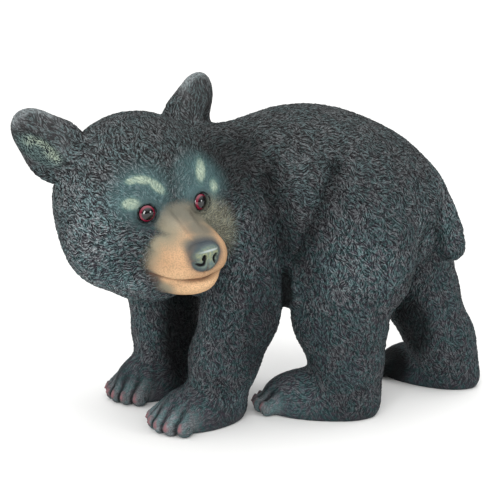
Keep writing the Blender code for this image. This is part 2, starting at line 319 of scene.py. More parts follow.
def eyePlace(side):
    return head @ at(*face["eyes"][side], roll=face["eye"]["roll"], yaw=side * face["eye"]["yaw"])


def earPlace(side, along):  # so far up an ear: z to its tip, x across it, y out of its back
    x, y, z = ears["root"]
    up = Vector((side * 0.61, ears[side]["lean"], 0.73)).normalized()
    across = Vector((side * 0.75, 0.10, -0.64))
    across = (across - up * across.dot(up)).normalized() * side
    turn = Matrix((across, up.cross(across), up)).transposed()
    return head @ Matrix.Translation(step(side * x, y, z) + up * along * mm) @ turn.to_4x4()


def shapeEar(clay, side):
    size = ears[side]["size"]
    clay.melt(clay.ellipsoid(earPlace(side, 21 * size), (21 * size, 9, 30 * size)), 10)
    clay.melt(clay.ellipsoid(earPlace(side, 2), (28, 11, 31)), 10)
    out, front, up = ears[side]["cup"]
    cup = earPlace(side, 22) @ at(side * out, front, up, pitch=side * 8)
    clay.press(clay.ellipsoid(cup, ears[side]["cupRadii"]), 2.5)


def barAcross(clay, end, thick):  # a level bar across the nose
    middle = face["nose"]["middle"]
    ends = [head @ step(middle + side * end[0], *end[1:]) for side in sides]
    return clay.rod(*ends, thick, thick)


def meltLump(clay, side, x, y, z, rx, ry, rz, softness=0, roll=0):
    clay.melt(clay.ellipsoid(head @ at(side * x, y, z, roll=roll), (rx, ry, rz)), softness)


def meltRod(clay, side, start, thick, end, thin, softness):
    back, front = (head @ step(side * x, y, z) for x, y, z in (start, end))
    clay.melt(clay.rod(back, front, thick, thin), softness)


def shapeHead(clay):
    meltLump(clay, 1, *face["skull"])
    for side in sides:
        meltLump(clay, side, *face["cheek"])
    meltLump(clay, 1, *face["jaw"])
    for side in sides:
        for rod in face["muzzleRods"]:
            meltRod(clay, side, *rod)
    start, end, thick, softness = face["muzzleCore"]
    meltRod(clay, 1, start, thick, end, thick, softness)
    for side in sides:
        meltRod(clay, side, *face["bridge"])
    meltLump(clay, 1, *face["chin"], roll=4)
    for side in sides:
        meltRod(clay, side, *face["jawSide"])
    nose = face["nose"]
    bars = [barAcross(clay, *nose[part]) for part in ("top", "tip")]
    clay.melt(clay.number("SMOOTH_MIN", *bars, nose["melt"] * mm), nose["softness"])
    lid = face["lid"]
    for side in sides:
        shapeEar(clay, side)
        clay.melt(clay.ellipsoid(eyePlace(side) @ at(0, lid["sink"], 0), lid["radii"]), 8)


def shapeCub():
    clay = Clay("cubClay")
    for x, y, z, rx, ry, rz, yaw, softness in trunk["lumps"]:
        clay.melt(clay.ellipsoid(at(x, y, z, yaw=yaw), (rx, ry, rz)), softness)
    trunkField = clay.field
    body = None
    for leg in legs.values():
        clay.field = trunkField
        shapeLeg(clay, **leg)
        body = clay.field if body is None else clay.number("MINIMUM", body, clay.field)
    clay.field = body
    for fold in trunk["folds"]:
        clay.press(clay.chain(fold["joints"]), fold["softness"])
    body = clay.field
    clay.field = None
    shapeHead(clay)
    clay.melt(body, trunk["neckSoftness"])
    clay.melt(clay.chain(trunk["tail"]["joints"]), trunk["tail"]["softness"])
    height = clay.node("ShaderNodeSeparateXYZ", clay.point).outputs["Z"]
    clay.press(clay.number("SUBTRACT", height, stand[2] * mm), 0.0)
    return clay


def added(name, data):
    thing = bpy.data.objects.new(name, data)
    bpy.context.collection.objects.link(thing)
    return thing


def evaluated(thing, name):  # the mesh of a thing with its modifiers done, as a new thing; the old one goes
    depsgraph = bpy.context.evaluated_depsgraph_get()
    mesh = bpy.data.meshes.new_from_object(thing.evaluated_get(depsgraph))
    bpy.data.objects.remove(thing)
    return added(name, mesh)


def castSkin(name):
    clay = shapeCub()
    thing = added("cubRough", bpy.data.meshes.new("cubRough"))
    grain = coat["grain"] * mm
    tree = clay.surface(step(*coat["low"]), step(*coat["high"]), grain)
    thing.modifiers.new("clay", "NODES").node_group = tree
    return evaluated(thing, name)


def points(mesh, what="co"):
    values = np.empty(len(mesh.vertices) * 3, dtype=np.float32)
    if what == "co":
        mesh.vertices.foreach_get("co", values)
    else:
        mesh.vertex_normals.foreach_get("vector", values)
    return values.reshape(-1, 3).astype(np.float64)


def unit(vectors):
    return vectors / np.maximum(np.linalg.norm(vectors, axis=-1, keepdims=True), 1e-9)


def smooth(value, low, high):
    share = np.clip((value - low) / (high - low), 0, 1)
    return share * share * (3 - 2 * share)


def worldPlace(place):
    return Matrix.Translation(-step(*stand)) @ place


def drawn(where):  # world points in drawn millimetres
    return where / mm + np.array(stand)


def reachOf(local, radii):  # 1 on the skin of an oval round the origin
    return np.linalg.norm(local / np.array(radii), axis=1)


def seenFrom(place, where):  # world points as a drawn place sees them, in drawn millimetres
    back = np.array(worldPlace(place).inverted())
    return (where @ back[:3, :3].T + back[:3, 3]) / mm


def worldWay(place, ways):
    return ways @ np.array(place.to_3x3()).T


def distanceTo(where, start, end):  # drawn millimetres from world points to a drawn stretch
    shift = np.array(step(*stand))
    start, axis = np.array(start) - shift, np.array(end - start)
    along = np.clip((where - start) @ axis / (axis @ axis), 0, 1)
    return np.linalg.norm(where - start - along[:, None] * axis, axis=1) / mm


fur = {
    "seed": 7,
    "spacing": 2.2,  # between strokes, in drawn millimetres
    "width": 2.8,
    "length": 6.0,
    "height": 1.8,
    "sink": 0.8,  # how deep the gaps go
    "sway": 36,  # how far a stroke strays from the lie of the coat, in degrees
}


def footPlace(foot):
    return at(foot["x"], foot["y"], stand[2], yaw=foot["yaw"])


def footReach(on, foot, *shares):  # 1 on an oval of these shares of the foot's sizes
    return reachOf(on, [foot[size] * share for size, share in zip(("length", "width", "height"), shares)])


def blended(under, over, share):
    return under * (1 - share[:, None]) + over * share[:, None]


def lieOfCoat(where, normals):  # which way the fur lies at each point, along the skin
    x, y, z = drawn(where).T
    low = smooth(z, 262, 150)
    outward = 0.12 * np.sign(y - 6) * smooth(np.abs(y - 6), 5, 60)
    way = unit(np.stack([1.0 - 0.75 * low, outward, -0.25 - 0.9 * low], axis=1))
    local = seenFrom(head, where)
    fromNose = local - np.array([0.0, -92.0, -20.0])
    fromNose[:, 2] -= 22 * smooth(local[:, 2], 10, -50)
    onHead = smooth(reachOf(local, (98, 110, 98)), 1.06, 0.86)
    way = blended(way, worldWay(head, unit(fromNose)), onHead)
    for side in sides:
        place = earPlace(side, 14)
        ear = seenFrom(place, where)
        earWay = worldWay(place, unit(np.stack([ear[:, 0] * 0.02, 0 * y, 1 + 0 * y], axis=1)))
        way = blended(way, earWay, smooth(reachOf(ear, (34, 22, 42)), 1.1, 0.8))
    for leg in legs.values():
        place = footPlace(leg["foot"])
        on = seenFrom(place, where)
        onFoot = smooth(footReach(on, leg["foot"], 0.6, 0.65, 1.2), 1.1, 0.8) * smooth(on[:, 0], 12, -12)
        footWay = worldWay(place, np.stack([-1 + 0 * y, 0 * y, -0.35 + 0 * y], axis=1))
        way = blended(way, unit(footWay), onFoot)
    root, *_, tip = trunk["tail"]["joints"]
    onTail = smooth(distanceTo(where, step(*root[:3]), step(*tip[:3])), 21, 15)
    way = blended(way, np.array([0.3, 0.0, -1.0]), onTail)
    way = unit(way - normals * np.sum(way * normals, axis=1, keepdims=True))
    swing = 0.42 * np.sin(x / 13 + 1.7 * np.sin(z / 23)) * np.cos(z / 15 + y / 21)
    swing += 0.30 * np.sin(x / 5.1 - z / 6.3 + 1.3 * np.sin(y / 7.7 + x / 11))
    swing += 0.55 * np.sin(x / 2.7 + z / 3.6 + 1.9 * np.sin(z / 6.1 + y / 5.3))
    return turned(way, normals, swing)


def turned(way, axis, angle):
    angle = angle[:, None]
    return way * np.cos(angle) + np.cross(axis, way) * np.sin(angle)


def spot(where, x, y, z, rx, ry, rz, edge=0.3):  # a soft oval on the head: 1 in its middle, 0 outside
    return smooth(reachOf(seenFrom(head @ at(x, y, z), where), (rx, ry, rz)), 1 + edge, 1 - edge)


def onEar(where, side):  # places on an ear, and how much each belongs to it
    ear = seenFrom(earPlace(side, 22), where)
    return ear, smooth(reachOf(ear, (26, 18, 36)), 1.15, 0.9)


def furriness(where):  # how deep the fur is carved: 1 on the coat, 0 on nose, lips, claws and round the eyes
    deep = np.ones(len(where))
    deep *= 1 - spot(where, 0, -90, -28, 44, 38, 44, edge=0.10)
    deep *= 1 - 0.9 * spot(where, 0, -66, -2, 27, 26, 24, edge=0.20)
    for side in sides:
        deep *= 1 - 0.9 * spot(where, side * 28.5, -57.5, 12, 15, 15, 15, edge=0.25)
        deep *= 1 - 0.72 * onEar(where, side)[1]
    for leg in legs.values():
        foot = leg["foot"]
        reach = footReach(seenFrom(footPlace(foot), where), foot, 0.58, 0.62, 1.05)
        deep *= 1 - 0.9 * smooth(reach, 1.05, 0.75)
        for root, tip, quick, claw in toePlaces(**foot):
            deep *= smooth(distanceTo(where, quick, claw), 3.0, 6.0)
    return deep * smooth(where[:, 2] / mm, 0.3, 3.0)


def strokePairs(where, seeds, reach):  # for each seed, the points near it, as two matching lists
    tree = KDTree(len(where))
    for index, spotAt in enumerate(where.tolist()):
        tree.insert(spotAt, index)
    tree.balance()
    owners, members = [], []
    for number, seed in enumerate(where[seeds].tolist()):
        near = [index for _, index, _ in tree.find_range(seed, reach)]
        owners.extend([number] * len(near))
        members.extend(near)
    return np.array(owners), np.array(members)


def carveFur(where, normals):  # height of the carved strokes over each point, 0 in the gaps, up to 1 at a tip
    draw = np.random.default_rng(fur["seed"])
    order = draw.permutation(len(where))
    cells = np.floor(where[order] / (fur["spacing"] * mm)).astype(np.int64)
    _, first = np.unique(cells @ np.array([1, 4096, 16777216]), return_index=True)
    seeds = order[first]
    count = len(seeds)
    lie = lieOfCoat(where[seeds], normals[seeds])
    lie = turned(lie, normals[seeds], np.radians(draw.normal(0, fur["sway"], count)))
    side = np.cross(normals[seeds], lie)
    size = draw.uniform(0.75, 1.25, count)
    strength = draw.uniform(0.55, 1.0, count)
    longest = fur["length"] * mm * 1.25 / 2
    owners, members = strokePairs(where, seeds, longest)
    offset = where[members] - where[seeds][owners]
    along = np.sum(offset * lie[owners], axis=1) / (fur["length"] * mm / 2 * size[owners])
    bend = 0.10 * fur["width"] * mm * np.sin(owners * 2.4) * along**2
    across = (np.sum(offset * side[owners], axis=1) - bend) / (fur["width"] * mm / 2)
    across = across / (0.35 + 0.65 * smooth(along, 1.05, 0.2))
    rise = smooth(along, -1.1, 0.45) * smooth(along, 1.02, 0.65)
    height = np.clip(1 - across**2, 0, 1) * rise * strength[owners]
    ridge = np.zeros(len(where))
    np.maximum.at(ridge, members, height)
    print("fur strokes:", count)
    return ridge


def store(mesh, name, values):
    kind = "FLOAT_VECTOR" if values.ndim == 2 else "FLOAT"
    layer = mesh.attributes.get(name) or mesh.attributes.new(name, kind, "POINT")
    layer.data.foreach_set("vector" if values.ndim == 2 else "value", values.astype(np.float32).ravel())


def clawMask(where):
    mask = np.zeros(len(where))
    for leg in legs.values():
        for root, tip, quick, claw in toePlaces(**leg["foot"]):
            mask = np.maximum(mask, smooth(distanceTo(where, quick, claw), 2.4, 1.5))
    return mask


def thinned(thing, faces, name):
    thing.data.calc_loop_triangles()
    share = faces / len(thing.data.loop_triangles)
    if share < 1:
        thin = thing.modifiers.new("thin", "DECIMATE")
        thin.use_collapse_triangulate = True
        thin.ratio = share
        thing = evaluated(thing, name)
    return thing


def socketCutter(side):  # a round drill for an eye's socket, open to the front
    eye = face["eye"]
    radius = (eye["diameter"] / 2 + eye["gap"]) * mm
    depth = (eye["edge"] + eye["gap"]) * mm
    drill = bmesh.new()
    whole = 20 * mm + depth
    bmesh.ops.create_cone(drill, cap_ends=True, segments=48, radius1=radius, radius2=radius, depth=whole)
    lift = Matrix.Translation((0, (depth - 20 * mm) / 2, 0)) @ Matrix.Rotation(math.pi / 2, 4, "X")
    bmesh.ops.transform(drill, matrix=worldPlace(eyePlace(side)) @ lift, verts=drill.verts)
    mesh = bpy.data.meshes.new("drill")
    drill.to_mesh(mesh)
    drill.free()
    return added("drill", mesh)


def drillSockets(thing, name):
    drills = [socketCutter(side) for side in sides]
    for drill in drills:
        cut = thing.modifiers.new("socket", "BOOLEAN")
        cut.operation = "DIFFERENCE"
        cut.solver = "EXACT"
        cut.object = drill
    thing = evaluated(thing, name)
    for drill in drills:
        bpy.data.objects.remove(drill)
    return thing


def hump(value, low, high):  # 1 between low and high, and 0 well outside
    soft = (high - low) * 0.4
    return smooth(value, low - soft, low + soft) * smooth(value, high + soft, high - soft)


def nostrilShape(x, z, side):  # a nostril's hole, and the groove that curls down and outwards from it
    nostril, curl = face["nostrils"][side], face["curl"]
    across, up = x - nostril["middle"][0], z - nostril["middle"][1]
    holeAcross, holeUp, wide = nostril["hole"]
    hole = smooth(np.hypot(across - holeAcross, up - holeUp), wide, wide * 0.5)
    groove = smooth(np.abs(np.hypot(across, up) - curl["radius"]), curl["half"], 0.3)
    turn = np.degrees(np.arctan2(up, -side * across))  # 0 towards the middle of the nose, 90 up
    first, last = nostril["turn"]
    return hole, groove * smooth(turn, first + 15, first - 15) * smooth(turn, last - 20, last + 20)


def eyeRadius(where, side):  # distance from an eye's axis and behind its edge, in drawn millimetres
    local = seenFrom(eyePlace(side), where)
    return np.hypot(local[:, 0], local[:, 2]), local[:, 1]


def faceCarving(where):  # how far the fine carving stands out, in drawn millimetres, and where it's dark: painted shade in the mouth's crease, the nose's split, the nostrils and round the eyes
    x, y, z = seenFrom(head, where).T
    mouth, nose, curl = face["mouth"], face["nose"], face["curl"]
    front = smooth(y, *mouth["front"]) * smooth(np.abs(x), 52, 44)
    below = mouth["height"] + mouth["bow"] * x**2 - z
    gap = smooth(np.abs(below), mouth["width"], 0.2) * front
    lift = -mouth["depth"] * gap + 1.1 * hump(below, 2.5, 7.5) * front * smooth(np.abs(x), 34, 20)
    line = smooth(np.abs(below), 1.7, 0.3) * front
    pits = np.zeros(len(where))
    onNose = smooth(y, -98, -103) * smooth(np.abs(x), 22, 18)
    split = smooth(np.abs(x - nose["middle"]), 1.8, 0.2) * hump(z, -39, -25) * onNose
    lift -= 1.4 * split
    line = np.maximum(line, 0.5 * split)
    for side in sides:
        hole, groove = nostrilShape(x, z, side)
        middle = face["nostrils"][side]["middle"]
        wing = smooth(np.hypot((x - middle[0]) / 6.0, (z - middle[1] + 0.5) / 5.6), 1.15, 0.7) * onNose
        lift += 0.9 * wing - curl["depth"] * np.maximum(hole, 0.7 * groove) * onNose
        pits = np.maximum(pits, np.maximum(hole, groove) * onNose)
        radius, behind = eyeRadius(where, side)
        near = smooth(np.abs(behind), 12, 7)
        lift += (1.3 * hump(radius, 8.6, 10.6) - 0.5 * hump(radius, 11.6, 13.4)) * near
        pits = np.maximum(pits, (0.9 * smooth(radius, 9.2, 8.4) + 0.1 * hump(radius, 11.8, 13.2)) * near)
    return lift, np.clip(line, 0, 1), np.clip(pits, 0, 1)


def toeMasks(where):  # the grooves between the toes, where shade is painted, and the tops of the toes
    groove, top = np.zeros(len(where)), np.zeros(len(where))
    for leg in legs.values():
        foot = leg["foot"]
        toes = list(toePlaces(**foot))
        gaps = [distanceTo(where, root, tip) / (foot["width"] * 0.13) for root, tip, quick, claw in toes]
        nearest, second = np.sort(gaps, axis=0)[:2]
        ends = [distanceTo(where, tip, quick) for root, tip, quick, claw in toes]
        by = smooth(np.min(ends, axis=0), 30, 8)
        between = smooth(second - nearest, 0.5, 0.05) * smooth(nearest, 0.7, 0.95) * by
        groove = np.maximum(groove, 0.8 * between)
        top = np.maximum(top, smooth(nearest, 1.9, 0.6) * by * (1 - between))
    return groove, top


shadows = [  # painted shade where the legs meet the belly and each other, on the far hind leg and foot, and in the recess behind the head: place, radii, amount
    ((-56, 30, 70), (23, 24, 80), 0.9),
    ((28, -49, 126), (7, 30, 26), 1.0),
    ((168, 3, 62), (20, 20, 38), 0.8),
    ((164, 50, 12), (16, 30, 20), 0.9),
    ((-20, -45, 262), (26, 40, 34), 0.25),
]


def shadowMask(where):
    dark = np.zeros(len(where))
    for place, radii, amount in shadows:
        reach = reachOf(drawn(where) - np.array(place), radii)
        dark = np.maximum(dark, amount * smooth(reach, 1.25, 0.6))
    return dark


def creaseMasks(where):  # how deep the narrow creases are cut, in drawn millimetres, and how dark the shade painted in them is
    x, y, z = drawn(where).T
    flat = np.stack([x, z], axis=1)
    lift, dark = np.zeros(len(where)), np.zeros(len(where))
    for crease in creases:
        gap = np.full(len(where), 1e3)
        for start, end in zip(crease["line"], crease["line"][1:]):
            start, axis = np.array(start), np.array(end) - np.array(start)
            along = np.clip((flat - start) @ axis / (axis @ axis), 0, 1)
            gap = np.minimum(gap, np.linalg.norm(flat - start - along[:, None] * axis, axis=1))
        wander = 1 + 0.25 * np.sin(z / 4.1 + x / 9)
        shown = smooth(y, -18, -28)
        band = smooth(gap * wander, crease["width"], 0.5) * shown
        lift = np.minimum(lift, -crease["depth"] * band)
        shade = crease["dark"] * smooth(gap * wander, crease["width"] * 1.5, 0.5) * shown
        dark = np.maximum(dark, shade)
    return lift, dark


def earMasks(where):  # the ears' hollows, with painted shade, the ridge inside each, and their rims, with a painted highlight
    hollow, ridge, rim = (np.zeros(len(where)) for _ in range(3))
    for side in sides:
        size = ears[side]["size"]
        x, y, z = seenFrom(earPlace(side, 21 * size), where).T
        front = smooth(y, 4, -1)
        near = smooth(np.abs(y), 16, 11)
        edge = np.hypot(x / (21 * size), z / (30 * size))
        rim = np.maximum(rim, hump(edge, 0.86, 1.06) * near * smooth(z, -4, 8) * smooth(x * side, 14, 4))
        cup = ears[side]["cup"]
        local = seenFrom(earPlace(side, 22) @ at(side * cup[0], cup[1], cup[2], pitch=side * 8), where)
        wide, _, tall = ears[side]["cupRadii"]
        reach = np.hypot(local[:, 0] / wide, (local[:, 2] + 8) / tall)
        shown = 1.0 if side == right else 0.0
        hollow = np.maximum(hollow, shown * smooth(reach, 1.1, 0.75) * front * near)
        inner = smooth(local[:, 0] * side, 4, -2)
        ridge = np.maximum(ridge, shown * hump(reach, 0.36, 0.76) * inner * front * near * smooth(z, 16, 2))
    return hollow, ridge, rim


def halved(thing, places):  # cut the faces near the drawn places in four
    shape = bmesh.new()
    shape.from_mesh(thing.data)
    spots = [(place.translation - Vector(step(*stand)), reach * mm) for place, reach in places]
    edges = []
    for facet in shape.faces:
        middle = facet.calc_center_median()
        if any((middle - spotAt).length < far for spotAt, far in spots):
            edges.extend(facet.edges)
    edges = list(dict.fromkeys(edges))  # each once, in the same order each run
    bmesh.ops.subdivide_edges(shape, edges=edges, cuts=1, use_grid_fill=True)
    bmesh.ops.triangulate(shape, faces=[facet for facet in shape.faces if len(facet.verts) > 4])
    shape.to_mesh(thing.data)
    shape.free()


brushAndLight = [  # how much dry brush each part gets, with painted light and shade in it: lighter on the cheek, the chin's underside, the feet, the fore legs' left edges and the top of the back, darker in the neck recess, the shoulder and flank valleys and under the belly: place, radii, amount
    ((-142, -82, 182), (44, 50, 58), 0.4),
    ((-165, -55, 200), (30, 60, 60), 0.3),
    ((-125, -72, 143), (40, 40, 24), 0.6),
    ((-140, -40, 245), (60, 60, 50), 0.25),
    ((-88, -45, 18), (50, 54, 42), 0.4),
    ((-92, -48, 8), (24, 34, 22), 0.4),
    ((-115, 40, 15), (34, 60, 36), 0.2),
    ((24, -30, 18), (52, 46, 36), 0.5),
    ((-97, 46, 75), (17, 28, 60), 0.45),
    ((-51, -50, 94), (15, 26, 56), 0.3),
    ((85, -75, 150), (50, 40, 34), 0.3),
    ((195, 20, 210), (36, 60, 60), 0.35),
    ((196, -19, 160), (24, 26, 40), 0.1),
    ((163, -45, 165), (24, 30, 36), 0.25),
    ((-22, -50, 250), (44, 60, 46), -0.4),
    ((14, -68, 200), (22, 30, 76), -0.2),
    ((40, -68, 160), (26, 30, 50), -0.3),
    ((-2, -72, 95), (26, 40, 70), -0.35),
]


# dry brush with painted light and shade for each point, from the list above and on the ears
def brushAndLightAmount(where):
    amount = np.full(len(where), 0.5)
    for place, radii, change in brushAndLight:
        reach = reachOf(drawn(where) - np.array(place), radii)
        amount += change * smooth(reach, 1.25, 0.35)
    for side in sides:
        ear, share = onEar(where, side)
        amount += 0.4 * share * (1 - 0.9 * smooth(ear[:, 0] * side, 4, 14))
    return np.clip(amount, 0, 2.2)


def makeCoat(name):
    thing = castSkin(name)
    faceSpot = head @ at(0, -84, -20)
    halved(thing, [(faceSpot, coat["fineFace"])] + [(eyePlace(side), coat["fineEye"]) for side in sides])
    mesh = thing.data
    where, normals = points(mesh), points(mesh, "normal")
    print("cast skin:", len(where), "points")
    ridge = carveFur(where, normals)
    deep = furriness(where)
    carving, line, pits = faceCarving(where)
    lift = (ridge * fur["height"] - fur["sink"]) * deep + carving + creaseMasks(where)[0]
    carved = where + normals * lift[:, None] * mm
    carved[:, 2] = np.maximum(carved[:, 2], 0)
    mesh.vertices.foreach_set("co", carved.astype(np.float32).ravel())
    store(mesh, "ridge", ridge * deep)
    # the line and pits carry painted shade for the carving's cuts and holes
    store(mesh, "line", line)
    store(mesh, "pits", pits)
    hollow, ridgeOfEar, rim = earMasks(where)
    store(mesh, "hollow", hollow)
    store(mesh, "earRidge", ridgeOfEar)
    store(mesh, "rim", rim)
    store(mesh, "lie", lieOfCoat(where, normals))
    mesh.update()
    print("fur carved")
    thing = thinned(thing, coat["faces"], name)
    thing = drillSockets(thing, name)
    mesh = thing.data
    where = points(mesh)
    store(mesh, "furry", furriness(where))
    store(mesh, "claw", clawMask(where))
    groove, top = toeMasks(where)
    # painted shade: between the toes, in the creases, and under and between the legs
    store(mesh, "groove", np.max([groove, creaseMasks(where)[1], shadowMask(where)], axis=0))
    store(mesh, "toeTop", top)
    store(mesh, "brushAndLight", brushAndLightAmount(where))
    mesh.polygons.foreach_set("use_smooth", [True] * len(mesh.polygons))
    mesh.update()
    mesh.calc_loop_triangles()
    print("coat:", len(mesh.loop_triangles), "triangles")
    return thing


class Paint(Wires):  # wires one material or shader group
    def range(self, value, low, high, start=0.0, end=1.0, kind="SMOOTHSTEP"):
        sockets = (value, low, high, start, end)
        return self.node("ShaderNodeMapRange", *sockets, interpolation_type=kind).outputs[0]

    def mix(self, share, under, over):
        made = self.tree.nodes.new("ShaderNodeMix")
        made.data_type = "RGBA"
        self.set(made.inputs["Factor"], share)
        self.set(made.inputs["A"], under)
        self.set(made.inputs["B"], over)
        return made.outputs["Result"]

    def cloud(self, place, scale, detail):
        made = self.node("ShaderNodeTexNoise", noise_dimensions="3D")
        for name, value in (("Vector", place), ("Scale", scale), ("Detail", detail), ("Roughness", 0.7)):
            self.set(made.inputs[name], value)
        return made.outputs["Fac"]

    def attribute(self, name, output="Fac"):
        return self.node("ShaderNodeAttribute", attribute_name=name).outputs[output]

    def group(self, tree, **values):
        made = self.tree.nodes.new("ShaderNodeGroup")
        made.node_tree = tree
        for name, value in values.items():
            self.set(made.inputs[name], value)
        return made.outputs


def shaderGroup(name, inputs, outputs):
    tree = bpy.data.node_groups.new(name, "ShaderNodeTree")
    for kind, sockets in (("INPUT", inputs), ("OUTPUT", outputs)):
        for socket, form in sockets.items():
            tree.interface.new_socket(socket, in_out=kind, socket_type="NodeSocket" + form)
    return tree, tree.nodes.new("NodeGroupInput").outputs, tree.nodes.new("NodeGroupOutput").inputs


def combedGroup():  # noise drawn out along the lie of the coat, like fine brushed hair
    tree, inputs, outputs = shaderGroup(
        "combed", {"Lie": "Vector", "Length": "Float", "Fineness": "Float"}, {"Hair": "Float"}
    )
    paint = Paint(tree)
    place = paint.node("ShaderNodeTexCoord").outputs["Object"]
    samples = 6
    total = None
    for sample in range(samples):
        reach = paint.times(inputs["Length"], sample / (samples - 1) - 0.5)
        noise = paint.node("ShaderNodeTexNoise", noise_dimensions="3D")
        paint.set(noise.inputs["Vector"], paint.vector("ADD", place, paint.scaled(inputs["Lie"], reach)))
        paint.set(noise.inputs["Scale"], inputs["Fineness"])
        paint.set(noise.inputs["Detail"], 0.0)
        total = noise.outputs["Fac"] if total is None else paint.number("ADD", total, noise.outputs["Fac"])
    mean = paint.number("DIVIDE", total, samples)
    paint.set(outputs["Hair"], paint.range(mean, 0.43, 0.57))
    return tree


def spotGroup():  # a soft oval: 1 in its middle and 0 outside
    tree, inputs, outputs = shaderGroup(
        "spot", {"Middle": "Vector", "Turn": "Vector", "Radii": "Vector", "Edge": "Float"}, {"Mask": "Float"}
    )
    paint = Paint(tree)
    place = paint.node("ShaderNodeTexCoord").outputs["Object"]
    local = paint.vector("SUBTRACT", place, inputs["Middle"])
    local = paint.turnedBack(local, inputs["Turn"])
    reach = paint.vector("LENGTH", paint.vector("DIVIDE", local, inputs["Radii"]))
    inner = paint.number("SUBTRACT", 1.0, inputs["Edge"])
    outer = paint.number("ADD", 1.0, inputs["Edge"])
    paint.set(outputs["Mask"], paint.range(reach, inner, outer, 1.0, 0.0))
    return tree


def rgb(red, green, blue):  # a colour as a screen shows it, 0 to 255, made linear
    linear = [((c / 255 + 0.055) / 1.055) ** 2.4 if c > 10 else c / 255 / 12.92 for c in (red, green, blue)]
    return (*linear, 1.0)


paints = {
    "gap": rgb(7, 8, 10),
    "base": rgb(65, 64, 71),
    "back": rgb(63, 62, 62),
    "teal": rgb(48, 75, 77),
    "violet": rgb(72, 62, 76),
    # pale dry brush on the fur, also used for painted highlights on the nose and the ear rims
    "dryBrushAndHighlight": rgb(158, 166, 168),
    "tealBrush": rgb(120, 152, 154),
    "tan": rgb(166, 132, 101),
    "tanShade": rgb(112, 104, 82),
    "bridge": rgb(88, 87, 78),
    "olive": rgb(110, 109, 94),
    "chin": rgb(192, 156, 120),
    "brow": rgb(88, 116, 110),
    "cream": rgb(150, 162, 144),
    "nose": rgb(72, 88, 90),
    "noseLight": rgb(124, 128, 98),
    "noseEdge": rgb(48, 54, 60),
    "nosePlane": rgb(70, 78, 82),
    "claw": rgb(118, 84, 88),
    "mouth": rgb(84, 56, 40),
    "pit": rgb(3, 3, 4),
    "hollow": rgb(84, 102, 100),
    "hollowDark": rgb(20, 30, 32),
    "halo": rgb(80, 110, 112),
    "taupe": rgb(112, 112, 102),
}

# Painted ovals on the head, in its own millimetres: middle, radii, edge and any turn.
ovals = {
    "muzzle": [
        ((0, -92, -29), (47, 44, 36), 0.42),
        ((3, -68, -3), (25, 26, 23), 0.5),
        ((-25, -78, -13), (11, 16, 11), 0.7),
    ],
    "farCheek": [((36, -58, -2), (13, 20, 17), 0.5), ((45, -58, -16), (13, 20, 23), 0.5)],
    "bridge": [
        ((6, -94, -11), (13, 14, 9), 0.4),
        ((11, -80, -4), (12, 16, 12), 0.5),
        ((13, -66, 4), (14, 15, 12), 0.55),
        ((2, -58, 12), (18, 14, 12), 0.6),
        ((-9, -99, -9), (9, 10, 8), 0.5),
    ],
    "taupe": [((-8, -62, 8), (26, 24, 14), 0.7)],
    "olive": [
        ((34, -56, -4), (18, 22, 22), 0.5),
        ((-32, -64, -8), (15, 18, 28), 0.6),
        ((-26, -76, 2), (16, 22, 14), 0.7),
        ((-27, -76, -50), (9, 12, 6), 0.6),
    ],
    "mouthEnd": [((-37, -66, -42), (13, 14, 10), 0.5)],
    "chin": [((0, -88, -51), (26, 24, 8), 0.4), ((-20, -84, -34), (14, 16, 9), 0.5)],
    # a dark soft border round the nose pad: partly its outline, partly painted shade at the pad's edges
    "noseEdge": [((1.4, -101, -19), (18.6, 13, 15.8), 0.22, {"roll": -8})],
    "nose": [
        ((1.9, -103, -17.5), (16.6, 13, 10.2), 0.08, {"roll": -8}),
        ((0.4, -103, -24.5), (14.2, 13, 9.8), 0.08, {"roll": -8}),
    ],
    "noseInner": [
        ((1.9, -104, -18), (14.6, 12, 7.6), 0.3, {"roll": -8}),
        ((0.4, -104, -24), (12.0, 12, 7.6), 0.3, {"roll": -8}),
    ],
    "nosePlane": [((1.5, -98, -9.5), (17, 8, 5.2), 0.3)],
    "noseFront": [((0, -107, -18.5), (15, 8, 5.0), 0.5)],
    # painted highlight along the upper edge of the nose pad
    "noseTopHighlight": [((2, -107, -14.6), (9.5, 4, 0.9), 0.6)],
    "brows": [
        ((-31, -42, 40), (5.5, 14, 2.8), 0.8, {"pitch": -5}),
        ((-22, -46, 40), (10, 14, 3.9), 0.7, {"pitch": 14}),
        ((-11, -52, 33), (9.5, 14, 4.4), 0.7, {"pitch": 48}),
        ((-37, -47, 22), (7.5, 12, 4.6), 0.7, {"pitch": -10}),
        ((37, -44, 36), (5, 14, 11), 0.7, {"pitch": 25}),
        ((45, -50, 22), (4.6, 12, 6.5), 0.7, {"pitch": 10}),
    ],
    "halo": [((-26, -46, 27), (27, 24, 26), 0.45), ((32, -46, 27), (25, 24, 26), 0.45)],
    "eyeShade": [((28.5, -57.5, 12), (10, 13, 10), 0.4), ((-27.8, -57.8, 13.8), (10.5, 13, 10.5), 0.4)],
    "cheekShade": [((-44, -60, -18), (18, 26, 28), 0.5)],
}


def ovalMask(paint, group, name):
    total = None
    for middle, radii, edge, *turn in ovals[name]:
        place = worldPlace(head) @ at(*middle, **dict(*turn))
        mask = paint.group(
            group, Middle=place.to_translation(), Turn=place.to_euler("XYZ"), Radii=step(*radii), Edge=edge
        )["Mask"]
        total = mask if total is None else paint.number("MAXIMUM", total, mask)
    return total


def newMaterial(name):
    material = bpy.data.materials.new(name)
    material.use_nodes = True
    return material, material.node_tree.nodes["Principled BSDF"]


def giveMaterial(thing, material):
    thing.data.materials.clear()
    thing.data.materials.append(material)


